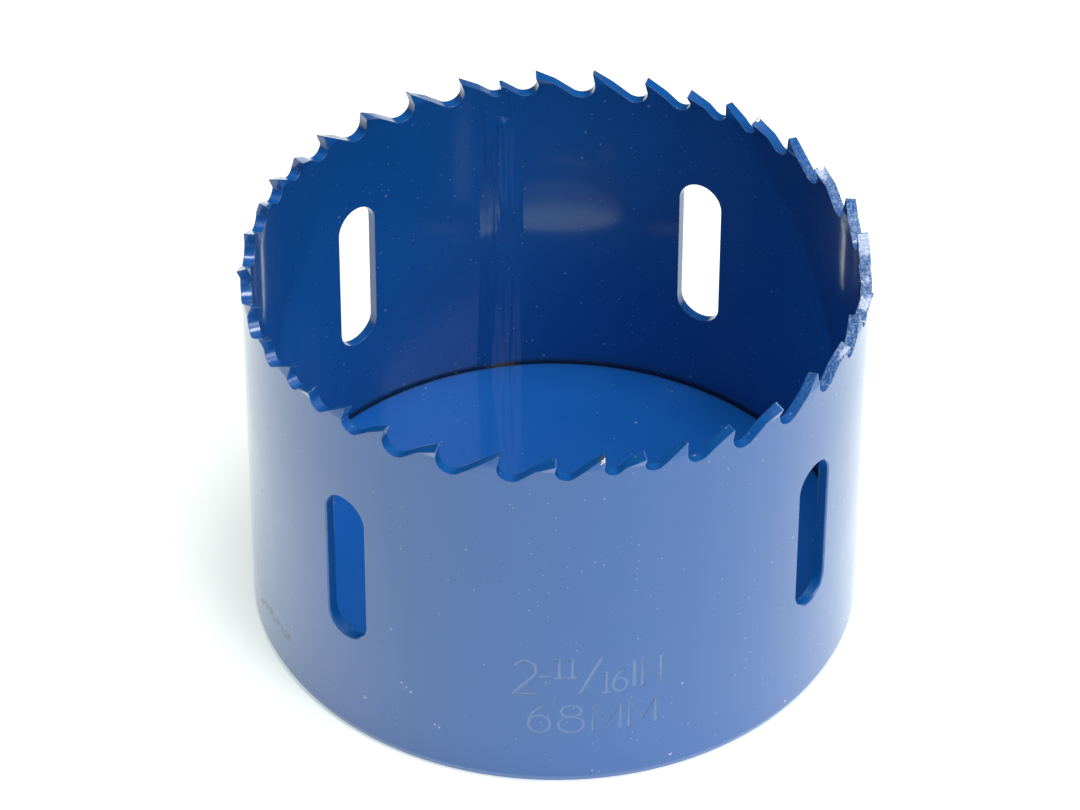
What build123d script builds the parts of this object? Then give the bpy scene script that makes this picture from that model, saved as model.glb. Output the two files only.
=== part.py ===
from build123d import *
from math import acos, asin, atan2, cos, degrees, hypot, pi, radians, sin, tan
import os

# A variable-pitch bi-metal hole saw, standing on its backplate with the teeth up.
# Millimetres and degrees. +Z is the saw's axis, from the arbor thread to the teeth.
# The origin is on that axis, in the rear face that the saw stands on.
#
# The saw is two pieces. A toothed strip is rolled into the cup wall and butt
# welded end to end, and a thick round backplate is welded inside its rear end.

# --- Driving dimensions: the cup ---------------------------------------------------
cut_diameter = 68.0        # circle that the outward-set teeth cut
wall_thickness = 1.2       # toothed strip
overall_height = 45.0      # rear face to the tips of the straight teeth
rear_bevel_height = 0.9    # bevel round the wall's rear edge
rear_bevel_depth = 0.4
weld_azimuth = 100.9       # butt weld of the strip, counter-clockwise from +X

# --- Driving dimensions: the teeth -------------------------------------------------
# The strip is toothed before it is rolled, in a group of seven pitches that
# repeats clockwise from the weld. A lean of -1 sets a tooth into the cup,
# 1 sets it outward, and 0 leaves it straight.
tooth_pitches = [6.5, 6.2, 5.35, 4.7, 4.25, 5.05, 5.95]
tooth_leans = [-1, 1, 0, -1, 1, -1, 1]
first_tip = 4.05           # weld to the tip of the first whole tooth, along the strip
tooth_set = 0.35           # how far a set tooth stands proud of the wall
bend_height = 1.2          # length of each tooth that the setting bends
tip_land = 0.12            # flat on each tip
rake_angle = 10.0          # the face hooks forward over its gullet
relief_angle = 30.0        # slope of the tooth's back, just behind the tip
gullet_depth_share = 0.455   # gullet depth, as a share of its own pitch
gullet_radius_share = 0.24   # gullet floor radius, as a share of its own pitch

# --- Driving dimensions: the side slots --------------------------------------------
slot_width = 5.3
slot_length = 19.3
slot_centre_height = 23.3
slot_count = 4
first_slot = 24.1          # weld to the first slot, along the strip
slot_pitch = 56.1          # from one slot to the next, along the strip
slot_edge_break = 0.15     # chamfer round each slot, on the outside

# --- Driving dimensions: the backplate ---------------------------------------------
plate_thickness = 3.7
plate_edge_chamfer = 0.35
thread_major = 15.875      # 5/8 in arbor thread
thread_pitch = 25.4 / 18   # 18 turns to the inch
thread_chamfer = 0.8       # opens both mouths to the thread's full diameter
pin_hole_diameter = 6.5    # drive pins of a quick-change arbor
pin_circle_diameter = 24.0
pin_hole_count = 4
pin_azimuth = 45.0
pin_hole_chamfer = 0.3

# --- Clearances --------------------------------------------------------------------
plate_fit = 0.0            # radial, the plate is seated hard against the wall
cutter_overrun = 1.0       # how far a cutting shape runs past what it cuts

# --- Worked out from the above -----------------------------------------------------
wall_outer = cut_diameter / 2 - tooth_set
wall_inner = wall_outer - wall_thickness
wall_middle = wall_outer - wall_thickness / 2
bend_level = overall_height - bend_height
strip_length = 2 * pi * wall_outer
set_angle = asin(tooth_set / bend_height)
back_run = bend_height / tan(radians(relief_angle))
root_length = tip_land + back_run
plate_radius = wall_inner - plate_fit
thread_minor = thread_major - 1.0825 * thread_pitch


def azimuth(along):
    """Azimuth of a place on the strip, measured clockwise from the weld."""
    return weld_azimuth - degrees(along / wall_outer)


def outward_plane(angle, radius, height):
    """Plane facing outward at an azimuth, with its X axis counter-clockwise and Y up."""
    outward = Vector(cos(radians(angle)), sin(radians(angle)), 0)
    around = Vector(-sin(radians(angle)), cos(radians(angle)), 0)
    return Plane(origin=outward * radius + Vector(0, 0, height), x_dir=around, z_dir=outward)


def tooth_row():
    """Every tip from the weld round to the weld, as (place on the strip, lean, pitch)."""
    group = len(tooth_pitches)
    index = group - 1
    place = first_tip - tooth_pitches[index]
    row = []
    while place < strip_length - root_length:
        row.append((place, tooth_leans[index % group], tooth_pitches[index % group]))
        place += tooth_pitches[index % group]
        index += 1
    return row


def gullet_cutter(place, pitch):
    """Space between two tips: raked face, round floor and sloping back."""
    radius = gullet_radius_share * pitch
    rake = radians(rake_angle)
    centre_y = radius - gullet_depth_share * pitch
    face_length = (-centre_y - radius * sin(rake)) / cos(rake)
    centre_x = -pitch / 2 - face_length * sin(rake) + radius * cos(rake)

    next_tip = (-pitch / 2, 0)
    face_foot = (-pitch / 2 - face_length * sin(rake), -face_length * cos(rake))
    floor = (centre_x, centre_y - radius)
    knee = (pitch / 2 - root_length, -bend_height)
    reach = hypot(knee[0] - centre_x, knee[1] - centre_y)
    foot_angle = atan2(knee[1] - centre_y, knee[0] - centre_x) - acos(radius / reach)
    back_foot = (centre_x + radius * cos(foot_angle), centre_y + radius * sin(foot_angle))

    start = wall_inner - cutter_overrun
    plane = outward_plane(azimuth(place + pitch / 2), start, overall_height)
    with BuildPart() as cutter:
        with BuildSketch(plane):
            with BuildLine():
                Line(next_tip, face_foot)
                ThreePointArc(face_foot, floor, back_foot)
                Line(back_foot, knee)
                Polyline(knee, (knee[0], 0), next_tip)
            make_face()
        extrude(amount=wall_thickness + 2 * cutter_overrun)
        if place < 0:
            split(bisect_by=weld_plane, keep=Keep.TOP)
        if place + pitch > strip_length:
            split(bisect_by=weld_plane, keep=Keep.BOTTOM)
    return cutter.part


def tip_face(place, lean):
    """Narrow flat that ends a tooth, tilted with the tooth's set."""
    tilt = lean * set_angle
    shift = lean * (tooth_set + wall_thickness / 2 * (1 - cos(tilt)))
    height = bend_level + bend_height * cos(tilt)
    flat = outward_plane(azimuth(place + tip_land / 2), wall_middle + shift, height)
    along_tooth = flat.y_dir * cos(tilt) + flat.z_dir * sin(tilt)
    with BuildSketch(Plane(origin=flat.origin, x_dir=flat.x_dir, z_dir=along_tooth)) as tip:
        Rectangle(tip_land, wall_thickness)
    return tip.sketch.face()


# The weld's own plane, facing clockwise, the way the strip runs.
weld_plane = Plane(
    origin=(0, 0, 0),
    x_dir=(0, 0, 1),
    z_dir=(sin(radians(weld_azimuth)), -cos(radians(weld_azimuth)), 0),
)

# --- Cutting shapes: the gullets and the side slots ---------------------------------
row = tooth_row()
gullets = [gullet_cutter(place, pitch) for place, lean, pitch in row]

with BuildPart() as slots:
    for number in range(slot_count):
        angle = azimuth(first_slot + number * slot_pitch)
        with BuildSketch(outward_plane(angle, wall_inner - cutter_overrun, slot_centre_height)):
            SlotOverall(slot_length, slot_width, rotation=90)
    extrude(amount=wall_thickness + 2 * cutter_overrun)

# --- Toothed wall --------------------------------------------------------------------
with BuildPart() as toothed_wall:
    with BuildSketch(Plane.XZ):
        with BuildLine():
            Polyline(
                (wall_inner, 0),
                (wall_outer - rear_bevel_depth, 0),
                (wall_outer, rear_bevel_height),
                (wall_outer, bend_level),
                (wall_inner, bend_level),
                close=True,
            )
        make_face()
    revolve(axis=Axis.Z)

    add(slots.part, mode=Mode.SUBTRACT)
    slot_edges = toothed_wall.edges(Select.LAST)
    rims = slot_edges.filter_by(lambda edge: abs(hypot((edge @ 0.5).X, (edge @ 0.5).Y) - wall_outer) < 0.01)
    chamfer(rims, length=slot_edge_break)

    add(gullets, mode=Mode.SUBTRACT)
    roots = toothed_wall.faces().filter_by_position(Axis.Z, bend_level - 0.01, bend_level + 0.01)
    teeth = []
    for place, lean, pitch in row:
        if place > 0:
            middle = outward_plane(azimuth(place + root_length / 2), wall_middle, bend_level)
            root = roots.sort_by_distance(middle.origin)[0]
            teeth.append(Solid.make_loft([root.outer_wire(), tip_face(place, lean).outer_wire()], ruled=True))
    add(teeth)
toothed_wall.part.label = "toothed_wall"

# --- Backplate -------------------------------------------------------------------------
with BuildPart() as backplate:
    with BuildSketch():
        Circle(plate_radius)
    extrude(amount=plate_thickness)
    chamfer(backplate.edges(), length=plate_edge_chamfer)

    Hole(radius=thread_minor / 2)
    mouths = backplate.edges(Select.LAST).filter_by(GeomType.CIRCLE)
    chamfer(mouths, length=thread_chamfer)

    with PolarLocations(pin_circle_diameter / 2, pin_hole_count, start_angle=pin_azimuth):
        Hole(radius=pin_hole_diameter / 2)
    mouths = backplate.edges(Select.LAST).filter_by(GeomType.CIRCLE)
    chamfer(mouths, length=pin_hole_chamfer)
backplate.part.label = "backplate"

os.makedirs("parts", exist_ok=True)
export_step(toothed_wall.part, "parts/toothed_wall.step")
export_step(backplate.part, "parts/backplate.step")
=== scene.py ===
import bmesh
import bpy
import math
from mathutils import Matrix, Vector, noise


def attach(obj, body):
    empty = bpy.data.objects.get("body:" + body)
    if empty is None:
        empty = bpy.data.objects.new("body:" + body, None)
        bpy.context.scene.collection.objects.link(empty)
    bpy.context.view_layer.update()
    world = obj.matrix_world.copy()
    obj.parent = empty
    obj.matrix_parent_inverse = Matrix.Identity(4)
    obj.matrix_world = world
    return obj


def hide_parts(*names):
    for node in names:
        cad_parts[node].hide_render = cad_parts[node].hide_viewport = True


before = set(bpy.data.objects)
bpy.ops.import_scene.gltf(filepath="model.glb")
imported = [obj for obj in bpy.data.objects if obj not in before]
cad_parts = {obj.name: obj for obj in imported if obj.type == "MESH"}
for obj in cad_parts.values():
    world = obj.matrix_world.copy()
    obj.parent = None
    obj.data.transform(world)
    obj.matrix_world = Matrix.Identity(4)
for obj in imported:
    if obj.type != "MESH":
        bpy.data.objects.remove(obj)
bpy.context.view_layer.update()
scene = bpy.context.scene

# Everything is in metres, in the CAD frame: +Z up the saw's axis, teeth at the top.
MM = 0.001
WALL_OUT = 33.65 * MM
WALL_IN = 32.45 * MM
MID_WALL = 33.0 * MM           # parts the wall's inside from its outside
PLATE = 3.7 * MM               # top of the backplate
WELD = math.radians(100.9)

THREAD_MINOR = 7.1737 * MM
THREAD_MAJOR = 7.9375 * MM
THREAD_PITCH = 25.4 / 18 * MM
THREAD_SLOPE = math.radians(30)    # half the angle of its groove

STROKE_RADIUS = 0.42 * MM      # round strokes of the stamp
STROKE_LIFT = 0.335 * MM       # their centre line, out from the wall

BEAD_LOW = PLATE - 0.3 * MM    # its foot is sunk in the backplate
BEAD_HIGH = 39.8 * MM
BEAD_SLOPE = 0.098             # its height over its half width
BEAD_SHIFT = 0.3 * MM          # of its middle, from the weld line


# --- Meshes --------------------------------------------------------------------------

def place(name, data):
    """A new object in the scene."""
    made = bpy.data.objects.new(name, data)
    scene.collection.objects.link(made)
    return made


def place_mesh(name, bm):
    """A new object from a finished bmesh."""
    mesh = bpy.data.meshes.new(name)
    bm.to_mesh(mesh)
    bm.free()
    return place(name, mesh)


def applied(thing):
    """The mesh of an object with its modifiers or bevel."""
    graph = bpy.context.evaluated_depsgraph_get()
    return bpy.data.meshes.new_from_object(thing.evaluated_get(graph))


def round_point(radius, angle, z):
    return (radius * math.cos(angle), radius * math.sin(angle), z)


def copy_node(node, name):
    """A welded copy of a CAD node's mesh, as a piece of its own."""
    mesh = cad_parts[node].data.copy()
    mesh.name = name
    bm = bmesh.new()
    bm.from_mesh(mesh)
    bmesh.ops.remove_doubles(bm, verts=bm.verts, dist=2e-7)
    bm.to_mesh(mesh)
    bm.free()
    return place(name, mesh)


def cut(piece, cutter):
    """Takes the cutter out of the piece, and drops the cutter."""
    change = piece.modifiers.new("cut", "BOOLEAN")
    change.operation = "DIFFERENCE"
    change.solver = "EXACT"
    change.use_self = True
    change.object = cutter
    mesh = applied(piece)
    piece.modifiers.clear()
    piece.data = mesh
    bpy.data.objects.remove(cutter)


def thread_cutter():
    """The groove of the arbor thread: a right-handed 60 degree helix through the plate."""
    steps = 48                 # to a turn
    clear = 0.12 * MM          # how far the groove is open inside the minor diameter
    low, high = -1.5 * THREAD_PITCH, PLATE + 1.5 * THREAD_PITCH
    turns = (high - low) / THREAD_PITCH
    inner = THREAD_MINOR - clear
    open_half = 0.375 * THREAD_PITCH + clear * math.tan(THREAD_SLOPE)
    root_half = 0.0625 * THREAD_PITCH
    bm = bmesh.new()
    rings = []
    for i in range(int(turns * steps) + 1):
        a = 2 * math.pi * i / steps
        z = low + THREAD_PITCH * i / steps
        corners = [(inner, z - open_half), (THREAD_MAJOR, z - root_half),
                   (THREAD_MAJOR, z + root_half), (inner, z + open_half)]
        rings.append([bm.verts.new(round_point(r, a, h)) for r, h in corners])
    for one, two in zip(rings, rings[1:]):
        for k in range(4):
            bm.faces.new((one[k], two[k], two[(k + 1) % 4], one[(k + 1) % 4]))
    bm.faces.new(rings[0][::-1])
    bm.faces.new(rings[-1])
    bmesh.ops.recalc_face_normals(bm, faces=bm.faces)
    return place_mesh("thread", bm)


def arc(cx, cy, rx, ry, start, end, steps=14):
    """Points of an elliptical arc, in degrees."""
    angles = [math.radians(start + (end - start) * i / steps) for i in range(steps + 1)]
    return [(cx + rx * math.cos(a), cy + ry * math.sin(a)) for a in angles]


def glyph(sign):
    """Strokes of a plain sign, in a box one unit wide and one unit high."""
    if sign == "6":
        return [arc(1.0, 0.32, 1.0, 0.68, 105, 180) + arc(0.5, 0.32, 0.5, 0.32, 180, 540, 24)[1:]]
    if sign == "8":
        return [arc(0.5, 0.29, 0.5, 0.29, 90, 450, 24), arc(0.5, 0.79, 0.4, 0.21, -90, 270, 20)]
    if sign == "2":
        return [arc(0.5, 0.72, 0.46, 0.28, 165, -35) + [(0.0, 0.03), (0.0, 0.0), (1.0, 0.0)]]
    if sign == "1":
        return [[(0.1, 1.0), (0.55, 1.0), (0.55, 0.0)], [(0.1, 0.0), (1.0, 0.0)]]
    if sign == "/":
        return [[(0, 0), (1, 1)]]
    if sign == "-":
        return [[(0, 0.5), (1, 0.5)]]
    if sign == "I":
        return [[(0.5, 0), (0.5, 1)]]
    if sign == "N":
        return [[(0, 0), (0, 1), (1, 0), (1, 1)]]
    return [[(0, 0), (0, 1), (0.5, 0.3), (1, 1), (1, 0)]]


def stamp_cutter():
    """The stamped size, 68 mm and 2-11/16 in, as rods that lie along the wall's front."""
    curve = bpy.data.curves.new("stamp", "CURVE")
    curve.dimensions = "3D"
    curve.bevel_depth = STROKE_RADIUS
    curve.bevel_resolution = 2
    curve.use_fill_caps = True
    # Each sign, with its left side, its foot, its width and its height, in millimetres.
    signs = [
        ("2", -4.4, 12.8, 2.5, 4.8), ("-", -1.7, 14.6, 1.3, 1.6), ("1", -0.2, 15.2, 1.2, 2.6),
        ("1", 1.2, 15.2, 1.2, 2.6), ("/", 2.6, 12.8, 2.4, 5.1), ("1", 4.9, 12.8, 1.1, 2.9),
        ("6", 6.2, 12.8, 1.5, 2.9), ("I", 8.0, 13.1, 1.0, 3.8), ("N", 9.4, 13.1, 2.0, 3.8),
        ("6", -2.8, 7.3, 2.3, 3.9), ("8", 0.4, 7.3, 2.7, 3.9), ("M", 4.1, 7.3, 2.9, 3.7),
        ("M", 8.0, 7.4, 2.9, 3.7),
    ]
    for sign, left, low, width, height in signs:
        for stroke in glyph(sign):
            spline = curve.splines.new("POLY")
            spline.points.add(len(stroke) - 1)
            for point, (x, y) in zip(spline.points, stroke):
                a = -math.pi / 2 + (left + width * x) * MM / WALL_OUT
                z = (low + height * y) * MM
                point.co = (*round_point(WALL_OUT + STROKE_LIFT, a, z), 1)
    rods = place("rods", curve)
    mesh = applied(rods)
    bpy.data.objects.remove(rods)
    return place("stamp", mesh)


def bead_section(z, steps):
    """The bead at one height, as points: how far along the wall, and how far in from it."""
    climb = (z - BEAD_LOW) / (BEAD_HIGH - BEAD_LOW)
    half = (2.75 - 1.0 * climb) * MM
    tip = 1.75 * MM            # radius of its round end
    end = math.sqrt(max(0.0, 1 - max(0.0, (z - BEAD_HIGH + tip) / tip) ** 2))
    # The crest wanders, and near the foot it lies to the left, as seen from inside.
    crest = 0.36 * max(0.0, 1 - climb / 0.42) + 0.14 * noise.noise(Vector((z / MM * 0.4, 0, 7)))
    points = []
    for i in range(steps + 1):
        share = 2 * i / steps - 1
        u = share * half * max(end, 0.02)
        fall = (share - crest) / ((1 if share > crest else -1) - crest)
        ripple = noise.noise(Vector((u / MM * 2.1, z / MM * 0.09, 3.0)))
        height = BEAD_SLOPE * half * (1 - fall) * end * end
        height += 0.04 * MM * ripple * (1 - share * share) * end
        # The weld ends in a small drop.
        drop = ((u / MM + 0.45) ** 2 + ((BEAD_HIGH - z) / MM - 1.2) ** 2) / 0.8 ** 2
        height += 0.12 * MM * max(0.0, 1 - drop) ** 2
        points.append((u, height))
    return points


def weld_bead():
    """The low bead of the butt weld, up the inside of the wall to a round end."""
    across, up = 44, 90
    tucked = 0.004 * MM        # its edges lie this far inside the wall's metal
    back_radius = WALL_IN + 0.3 * MM
    bm = bmesh.new()
    rows = []
    for j in range(up + 1):
        z = BEAD_LOW + (BEAD_HIGH - BEAD_LOW) * j / up
        row = []
        for u, height in bead_section(z, across):
            a = WELD + (u + BEAD_SHIFT) / WALL_IN
            row.append(bm.verts.new(round_point(WALL_IN + tucked - height, a, z)))
        rows.append(row)
    for one, two in zip(rows, rows[1:]):
        for k in range(across):
            bm.faces.new((one[k], two[k], two[k + 1], one[k + 1]))
    back = []
    for row in rows:
        pair = []
        for x, y, z in (row[0].co, row[-1].co):
            reach = back_radius / math.hypot(x, y)
            pair.append(bm.verts.new((x * reach, y * reach, z)))
        back.append(pair)
    for one, two, (a, b), (c, d) in zip(rows, rows[1:], back, back[1:]):
        bm.faces.new((a, b, d, c))
        bm.faces.new((one[0], a, c, two[0]))
        bm.faces.new((one[-1], two[-1], d, b))
    bm.faces.new([*rows[0], back[0][1], back[0][0]])
    bm.faces.new([*rows[-1][::-1], back[-1][0], back[-1][1]])
    bmesh.ops.recalc_face_normals(bm, faces=bm.faces)
    bead = place_mesh("weld_bead", bm)
    bead.data.shade_smooth()
    bead.data.set_sharp_from_angle(angle=math.radians(50))
    return bead


def set_normals(mesh, rounds=()):
    """True normals on the flat faces and on the round ones, given as radius and side.

    A cut leaves corners on the wall's flat facets, a little off the true circle.
    """
    off_circle = 0.045 * MM
    imported = mesh.attributes.get("custom_normal")
    if imported:
        mesh.attributes.remove(imported)
    normals = [None] * len(mesh.loops)
    for face in mesh.polygons:
        if abs(face.normal.z) > 0.9999:
            for loop in face.loop_indices:
                normals[loop] = face.normal.copy()
        corners = [mesh.vertices[i].co for i in face.vertices]
        middle = Vector((face.center.x, face.center.y, 0)).normalized()
        for radius, side in rounds:
            on_wall = all(abs(math.hypot(c.x, c.y) - radius) < off_circle for c in corners)
            if on_wall and face.normal.dot(middle) * side > 0.99:
                for loop in face.loop_indices:
                    c = mesh.vertices[mesh.loops[loop].vertex_index].co
                    normals[loop] = Vector((c.x, c.y, 0)).normalized() * side
    mesh.shade_smooth()
    mesh.set_sharp_from_angle(angle=math.radians(28))
    own = [Vector(n.vector) for n in mesh.corner_normals]
    mesh.normals_split_custom_set([n or o for n, o in zip(normals, own)])


# --- Shader nodes ----------------------------------------------------------------------

class Graph:
    """Short names for the shader nodes that a material is built from."""

    def __init__(self, name):
        self.material = bpy.data.materials.new(name)
        self.material.use_nodes = True
        self.tree = self.material.node_tree
        self.shader = self.tree.nodes["Principled BSDF"]
        self.place = self.node("ShaderNodeTexCoord").outputs["Object"]

    def node(self, kind, **settings):
        made = self.tree.nodes.new(kind)
        for key, value in settings.items():
            setattr(made, key, value)
        return made

    def put(self, socket, value):
        """Links or sets a socket. None leaves it alone."""
        if isinstance(value, bpy.types.NodeSocket):
            self.tree.links.new(value, socket)
        elif value is not None:
            socket.default_value = value

    def math(self, operation, *values):
        made = self.node("ShaderNodeMath", operation=operation)
        for socket, value in zip(made.inputs, values):
            self.put(socket, value)
        return made.outputs[0]

    def times(self, *values):
        product = values[0]
        for value in values[1:]:
            product = self.math("MULTIPLY", product, value)
        return product

    def vector(self, operation, a, b=None):
        made = self.node("ShaderNodeVectorMath", operation=operation)
        self.put(made.inputs[0], a)
        self.put(made.inputs[1], b)
        number = operation in ("DOT_PRODUCT", "LENGTH", "DISTANCE")
        return made.outputs["Value" if number else "Vector"]

    def split(self, vector):
        made = self.node("ShaderNodeSeparateXYZ")
        self.put(made.inputs[0], vector)
        return made.outputs["X"], made.outputs["Y"], made.outputs["Z"]

    def ramp(self, value, low, high, out_low=0.0, out_high=1.0):
        """A clamped change from one value to another. `high` may lie below `low`."""
        made = self.node("ShaderNodeMapRange", clamp=True)
        settings = {"Value": value, "From Min": low, "From Max": high,
                    "To Min": out_low, "To Max": out_high}
        for key, setting in settings.items():
            self.put(made.inputs[key], setting)
        return made.outputs[0]

    def noise(self, scale, detail, where=None):
        made = self.node("ShaderNodeTexNoise")
        self.put(made.inputs["Vector"], where or self.place)
        self.put(made.inputs["Scale"], scale)
        self.put(made.inputs["Detail"], detail)
        return made.outputs["Fac"]

    def mix(self, share, a, b):
        """Two colours."""
        made = self.node("ShaderNodeMix", data_type="RGBA")
        self.put(made.inputs[0], share)
        self.put(made.inputs[6], a)
        self.put(made.inputs[7], b)
        return made.outputs[2]

    def mix_numbers(self, share, a, b):
        made = self.node("ShaderNodeMix", data_type="FLOAT")
        self.put(made.inputs[0], share)
        self.put(made.inputs[2], a)
        self.put(made.inputs[3], b)
        return made.outputs[0]

    def specks(self, cell, share, small, large):
        """Scattered round specks between two radii: `share` of the cells hold one."""
        cells = self.node("ShaderNodeTexVoronoi")
        self.put(cells.inputs["Vector"], self.place)
        self.put(cells.inputs["Scale"], 1 / cell)
        pick = self.node("ShaderNodeSeparateColor")
        self.put(pick.inputs[0], cells.outputs["Color"])
        size = self.math("MULTIPLY_ADD", pick.outputs[1], (large - small) / cell, small / cell)
        near = self.ramp(cells.outputs["Distance"], self.times(size, 0.75), size, 1, 0)
        return self.times(near, self.math("LESS_THAN", pick.outputs[0], share))

    def spots(self, marks, ragged):
        """Ragged spots: each mark is a point and a radius, in metres."""
        total = 0.0
        for centre, radius in marks:
            away = self.vector("DISTANCE", self.place, centre)
            inside = self.math("LESS_THAN", away, self.times(ragged, radius))
            total = self.math("MAXIMUM", total, inside)
        return total


# --- Camera, lights and floor ----------------------------------------------------------

def camera():
    """The camera that was fitted to the photograph."""
    image_width = 1080         # pixels
    focal_length = 5228.8      # pixels
    elevation = math.radians(40.148)
    roll = math.radians(0.202)
    aside, lift, back = -1.681, 18.70, 585.0    # millimetres
    data = bpy.data.cameras.new("view")
    data.sensor_width = 36
    data.lens = focal_length / image_width * data.sensor_width
    data.clip_start, data.clip_end = 0.05, 20
    forward = Vector((0, math.cos(elevation), -math.sin(elevation)))
    up = Vector((0, math.sin(elevation), math.cos(elevation)))
    cam = place("view", data)
    cam.location = (Vector((aside, 0, 0)) + up * lift - forward * back) * MM
    tilt = Matrix.Rotation(math.pi / 2 - elevation, 3, "X")
    cam.rotation_euler = (tilt @ Matrix.Rotation(roll, 3, "Z")).to_euler()
    scene.camera = cam


def lamp(name, azimuth, elevation, size, watts):
    """A round soft box one metre from the object, aimed at it."""
    data = bpy.data.lights.new(name, "AREA")
    data.shape = "DISK"
    data.size = size
    data.energy = watts
    data.color = (0.97, 1, 0.96)
    a, e = math.radians(azimuth), math.radians(elevation)
    offset = Vector((math.cos(a) * math.cos(e), math.sin(a) * math.cos(e), math.sin(e)))
    soft_box = place(name, data)
    soft_box.location = Vector((0, 0, 20 * MM)) + offset
    soft_box.rotation_euler = (-offset).to_track_quat("-Z", "Y").to_euler()


def studio():
    """Dim pale surroundings, which the camera sees as plain white."""
    world = bpy.data.worlds.new("studio")
    world.use_nodes = True
    nodes, links = world.node_tree.nodes, world.node_tree.links
    nodes.clear()
    out = nodes.new("ShaderNodeOutputWorld")
    mix = nodes.new("ShaderNodeMixShader")
    path = nodes.new("ShaderNodeLightPath")
    fill = nodes.new("ShaderNodeBackground")
    fill.inputs["Strength"].default_value = 0.03
    plain = nodes.new("ShaderNodeBackground")
    plain.inputs["Color"].default_value = (1, 1, 1, 1)
    links.new(path.outputs["Is Camera Ray"], mix.inputs["Fac"])
    links.new(fill.outputs[0], mix.inputs[1])
    links.new(plain.outputs[0], mix.inputs[2])
    links.new(mix.outputs[0], out.inputs["Surface"])
    scene.world = world
    scene.view_settings.view_transform = "Standard"


def floor():
    """White paper, lit round the saw as on a bright table, and grey in the shade under it."""
    shaded, lit = (0.42, 0.42, 0.42, 1), (0.93, 0.93, 0.93, 1)
    painted_pool_colour, table_light = (0.74, 1, 0.94, 1), (0.92, 1, 0.92, 1)
    g = Graph("paper")
    g.put(g.shader.inputs["Roughness"], 0.8)
    away = g.vector("LENGTH", g.place)
    outside = g.ramp(away, 32.4 * MM, 32.9 * MM)
    g.put(g.shader.inputs["Base Color"], g.mix(outside, shaded, lit))
    # A painted pool of light: the floor glows where light would fall through the arbor hole and
    # land a little behind it.
    landing = g.vector("DISTANCE", g.place, (0, 5.9 * MM, 0))
    painted_pool = g.times(g.ramp(landing, 6.7 * MM, 8.9 * MM, 0.95, 0),
                    g.ramp(away, 8 * MM, 9 * MM, 1, 0))
    glow = g.node("ShaderNodeEmission")
    g.put(glow.inputs["Color"], g.mix(outside, painted_pool_colour, table_light))
    g.put(glow.inputs["Strength"], g.math("MULTIPLY_ADD", outside, 0.56, painted_pool))
    add = g.node("ShaderNodeAddShader")
    g.put(add.inputs[0], g.shader.outputs[0])
    g.put(add.inputs[1], glow.outputs[0])
    g.put(g.tree.nodes["Material Output"].inputs["Surface"], add.outputs[0])
    bpy.ops.mesh.primitive_plane_add(size=6, location=(0, 0, 0))
    sheet = bpy.context.object
    sheet.name = "floor"
    sheet.data.materials.append(g.material)


# --- Paint -----------------------------------------------------------------------------

# The wall's mean blue is what an automatic search against the photograph settled on. The
# other colours were set one by one.
WALL_BLUES = (0.0010, 0.098, 0.39, 1), (0.0016, 0.113, 0.45, 1)
# The plate's blues are the wall's paint made brighter: painted light, for the extra light on the
# disc.
LIT_PLATE_BLUES = (0.0008, 0.101, 0.43, 1), (0.0012, 0.116, 0.495, 1)
PALE_DUST = (0.36, 0.48, 0.60, 1)
THIN_PAINT_AND_HIGHLIGHT = (0.30, 0.38, 0.48, 1)
CORNER_SHADE = (0.006, 0.010, 0.014, 1)
PLATE_RIM_SHADE = (0.006, 0.012, 0.018, 1)
BROWN_STAIN = (0.16, 0.12, 0.05, 1)
SCUFFED = (0.003, 0.045, 0.20, 1)
CHIPPED = (0.34, 0.44, 0.56, 1)
BLUE_DUST_AND_LIGHT = (0.22, 0.36, 0.60, 1)
DUST_AND_SHEEN = (0.50, 0.60, 0.70, 1)
BARE_STEEL = (0.72, 0.73, 0.74, 1)
DARK_STEEL = (0.09, 0.09, 0.09, 1), (0.17, 0.17, 0.16, 1)


def mark(azimuth, height, size, radius=WALL_OUT):
    """A spot at an azimuth in degrees, with its height and its radius in millimetres."""
    return round_point(radius, math.radians(azimuth), height * MM), size * MM


# The plainest marks were picked in the photograph, and the fitted camera turned their
# places into angles and heights. The others were set near them.
SCUFFS = [
    mark(-159.3, 5.9, 0.40), mark(-158.2, 5.6, 0.26), mark(-156.8, 5.9, 0.42),
    mark(-155.4, 5.5, 0.26), mark(-153.9, 5.9, 0.34), mark(-151.6, 5.7, 0.38),
    mark(-149.2, 6.0, 0.42), mark(-167.3, 3.8, 0.26), mark(-162.8, 4.7, 0.30),
    mark(-161.0, 5.3, 0.30), mark(-152.8, 6.2, 0.24), mark(-150.4, 5.4, 0.22),
    mark(-154.7, 33.2, 0.14), mark(-159.5, 22.2, 0.20),
]
CHIPS = [
    mark(-127.2, 6.0, 0.15), mark(-118.9, 10.6, 0.11), mark(-118.0, 10.2, 0.10),
    mark(-117.0, 9.8, 0.11), mark(-112.4, 6.1, 0.11), mark(-111.5, 5.9, 0.14),
    mark(-42.1, 1.6, 0.16), mark(-68.4, 2.05, 0.12),
]
BARE_TIPS = [
    mark(-81.6, 44.9, 0.6, MID_WALL), mark(48.0, 44.9, 0.35, MID_WALL),
    mark(29.5, 44.9, 0.5, MID_WALL),
]


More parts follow.
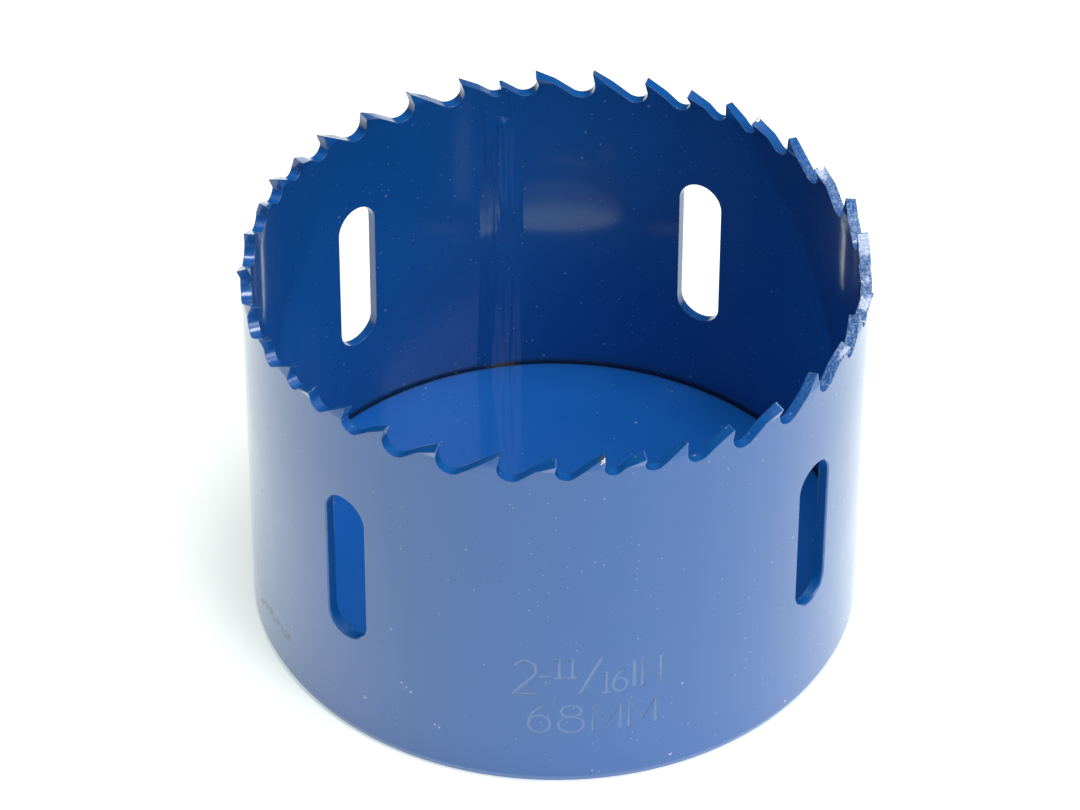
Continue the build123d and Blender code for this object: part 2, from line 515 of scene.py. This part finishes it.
class Paint(Graph):
    """Sprayed gloss blue enamel. What lies on it adds to its colour or to its height."""

    def __init__(self, name, blues):
        super().__init__(name)
        self.x, self.y, self.z = self.split(self.place)
        self.flat = self.vector("MULTIPLY", self.place, (1, 1, 0))
        self.radius = self.vector("LENGTH", self.flat)
        self.normal = self.node("ShaderNodeNewGeometry").outputs["True Normal"]
        bevel = self.node("ShaderNodeBevel", samples=4)
        self.put(bevel.inputs["Radius"], 0.12 * MM)
        self.soft_normal = bevel.outputs[0]
        self.ragged = self.ramp(self.noise(2600, 3), 0.3, 0.7, 0.5, 1.4)
        mottle = self.noise(90, 3)
        self.colour = self.mix(mottle, *blues)
        self.height = 0.0
        sockets = self.shader.inputs
        self.put(sockets["Roughness"], self.ramp(mottle, 0.3, 0.7, 0.36, 0.44))
        self.put(sockets["Coat Weight"], 1.0)
        self.put(sockets["Coat Roughness"], 0.08)
        self.put(sockets["Coat IOR"], 1.45)

    def tint(self, share, colour):
        self.colour = self.mix(share, self.colour, colour)

    def lift(self, share, height):
        self.height = self.math("MULTIPLY_ADD", share, height, self.height)

    def orange_peel(self, coarse=0.0):
        """Fine peel, coarser where `coarse` is 1, and low waves."""
        self.lift(self.noise(1700, 2), self.math("MULTIPLY_ADD", coarse, 0.022 * MM, 0.003 * MM))
        self.lift(self.noise(160, 1), 0.006 * MM)

    def dust(self, amount):
        """Pale specks that lie in drifts."""
        share = self.times(self.ramp(self.noise(110, 2), 0.40, 0.62, 0.2, 1.0), amount)
        small = self.specks(0.95 * MM, share, 0.06 * MM, 0.13 * MM)
        large = self.specks(2.2 * MM, self.times(share, 0.9), 0.10 * MM, 0.22 * MM)
        self.tint(self.times(self.math("MAXIMUM", small, large), 0.45), PALE_DUST)

    def thin_and_highlit_edges(self):
        """Paler paint over the sharp edges: partly paint that ran thin there, partly a painted
        highlight for the light that the rounded edges catch.
        """
        bend = self.vector("DOT_PRODUCT", self.soft_normal, self.normal)
        worn = self.ramp(self.ragged, 0.6, 1.2, 0.1, 0.5)
        self.tint(self.times(self.ramp(bend, 0.99, 0.86), worn), THIN_PAINT_AND_HIGHLIGHT)

    def finish(self):
        """The material, with its edges softened."""
        bump = self.node("ShaderNodeBump")
        self.put(bump.inputs["Strength"], 1.0)
        self.put(bump.inputs["Distance"], 1.0)
        self.put(bump.inputs["Height"], self.height)
        self.put(bump.inputs["Normal"], self.soft_normal)
        self.put(self.shader.inputs["Normal"], bump.outputs[0])
        self.put(self.shader.inputs["Coat Normal"], bump.outputs[0])
        self.put(self.shader.inputs["Base Color"], self.colour)
        return self.material


def weld_marks(p, inside):
    """Upright ripples on the bead, a faint ground line outside, a brown stain at the weld's foot,
    and painted shade all round the wall's inside foot.
    """
    along = (-math.sin(WELD), math.cos(WELD), 0)
    out = (math.cos(WELD), math.sin(WELD), 0)
    side = p.ramp(p.vector("DOT_PRODUCT", p.place, out), 0, 1 * MM)
    upright = p.vector("MULTIPLY", p.place, (1, 1, 0.07))
    wander = p.math("MULTIPLY_ADD", p.noise(420, 2, upright), 0.6 * MM, -0.3 * MM)
    off = p.math("ABSOLUTE", p.math("ADD", p.vector("DOT_PRODUCT", p.place, along), wander))
    ripple = p.times(p.noise(1000, 2, upright), p.ramp(off, 1.7 * MM, 2.5 * MM, 0.10 * MM, 0))
    ground = p.ramp(off, 0, 2.35 * MM, -0.06 * MM, 0)
    outward = p.vector("DOT_PRODUCT", p.vector("NORMALIZE", p.flat), p.normal)
    p.lift(p.mix_numbers(p.ramp(outward, -0.5, 0.5), ripple, ground), side)

    # Painted shade: the wall's inside is darkened all round just above the backplate, in the
    # corner.
    foot = p.ramp(p.z, PLATE + 0.05 * MM, PLATE + 0.7 * MM, 0.75, 0)
    p.tint(p.times(foot, inside), CORNER_SHADE)
    low = p.ramp(p.z, PLATE + 0.2 * MM, PLATE + 0.6 * MM, 1, 0)
    near = p.ramp(off, 1.0 * MM, 2.2 * MM, 1, 0)
    stain = p.times(p.times(near, low, inside), p.times(side, p.ramp(p.ragged, 0.7, 1.1)))
    p.tint(stain, BROWN_STAIN)


def stamp_dust_and_light(p):
    """Fine dust in the stamped strokes, which lie a little below the wall's outside. Its pale
    tint is also painted light, which lifts the shade in the strokes.
    """
    middle = p.math("LESS_THAN", p.math("ABSOLUTE", p.x), 14 * MM)
    front = p.times(middle, p.math("LESS_THAN", p.y, 0))
    sunk = p.ramp(p.radius, WALL_OUT - 0.01 * MM, WALL_OUT - 0.05 * MM)
    above = p.ramp(p.z, 4 * MM, 6 * MM, 0, 0.35)
    below = p.math("LESS_THAN", p.z, 22 * MM)
    outside = p.math("GREATER_THAN", p.radius, MID_WALL)
    p.tint(p.times(sunk, front, above, below, outside), BLUE_DUST_AND_LIGHT)


def wall_paint():
    p = Paint("wall_paint", WALL_BLUES)
    teeth = p.ramp(p.z, 41.5 * MM, 42.5 * MM)
    inside = p.math("LESS_THAN", p.radius, MID_WALL)
    p.orange_peel(teeth)
    weld_marks(p, inside)

    torn = p.ramp(p.noise(5200, 4), 0.35, 0.65, 0.1, 2.0)
    scuffed = p.spots(SCUFFS, torn)
    p.lift(p.times(scuffed, p.noise(4200, 2)), 0.25 * MM)
    p.tint(scuffed, SCUFFED)
    p.tint(p.spots(CHIPS, torn), CHIPPED)
    stamp_dust_and_light(p)

    # Most dust lies inside, and outside on the half that is turned to the window.
    p.dust(p.math("MAXIMUM", p.ramp(p.x, -24 * MM, 4 * MM, 0.2, 0.9), p.times(inside, 1.7)))
    p.thin_and_highlit_edges()

    # Dust and fine scuffs have dulled the tooth backs on that side; their pale mottle on faces
    # turned up towards the lamps is also a painted reflection.
    backs = p.times(p.ramp(p.split(p.normal)[2], 0.3, 0.5), p.ramp(p.x, 24 * MM, 31 * MM))
    p.tint(p.times(backs, teeth, p.ramp(p.noise(3800, 4), 0.44, 0.62, 0, 0.5)), DUST_AND_SHEEN)
    bare = p.spots(BARE_TIPS, p.ragged)
    p.tint(bare, BARE_STEEL)
    p.put(p.shader.inputs["Metallic"], bare)
    return p.finish()


def plate_paint():
    p = Paint("plate_paint", LIT_PLATE_BLUES)
    p.orange_peel()
    # Painted shade: the plate darkens towards its rim, in the corner where it meets the wall.
    p.tint(p.ramp(p.radius, 31.7 * MM, 32.4 * MM, 0, 0.75), PLATE_RIM_SHADE)
    p.dust(0.4)
    p.thin_and_highlit_edges()
    return p.finish()


def tapped_steel():
    """Dark, oiled steel of the arbor thread, with fine marks round it."""
    g = Graph("tapped_steel")
    g.put(g.shader.inputs["Metallic"], 1.0)
    tone = g.noise(600, 3)
    g.put(g.shader.inputs["Base Color"], g.mix(tone, *DARK_STEEL))
    g.put(g.shader.inputs["Roughness"], g.ramp(tone, 0.3, 0.7, 0.28, 0.42))
    bump = g.node("ShaderNodeBump")
    g.put(bump.inputs["Distance"], 1.0)
    flattened = g.vector("MULTIPLY", g.place, (0.15, 0.15, 1))
    g.put(bump.inputs["Height"], g.times(g.noise(9000, 2, flattened), 0.004 * MM))
    g.put(g.shader.inputs["Normal"], bump.outputs[0])
    return g.material


# --- Making ------------------------------------------------------------------------------

camera()
# Both lamps come from a least-squares fit of trial lamps to small patches of the photograph.
lamp("window", azimuth=-40, elevation=38, size=0.7, watts=4.5)
lamp("ceiling", azimuth=-40, elevation=84, size=0.5, watts=7.1)
studio()
floor()

wall = copy_node("toothed_wall", "stamped_wall")
cut(wall, stamp_cutter())
set_normals(wall.data, [(WALL_OUT, 1), (WALL_IN, -1)])
wall.data.materials.clear()
wall.data.materials.append(wall_paint())
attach(wall, "root")
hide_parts("toothed_wall")

plate = copy_node("backplate", "threaded_backplate")
cut(plate, thread_cutter())
set_normals(plate.data)
plate.data.materials.clear()
plate.data.materials.append(plate_paint())
plate.data.materials.append(tapped_steel())
for face in plate.data.polygons:
    face.material_index = int(math.hypot(face.center.x, face.center.y) < THREAD_MAJOR)
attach(plate, "root")
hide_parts("backplate")

bead = weld_bead()
bead.data.materials.append(wall.data.materials[0])
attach(bead, "root")
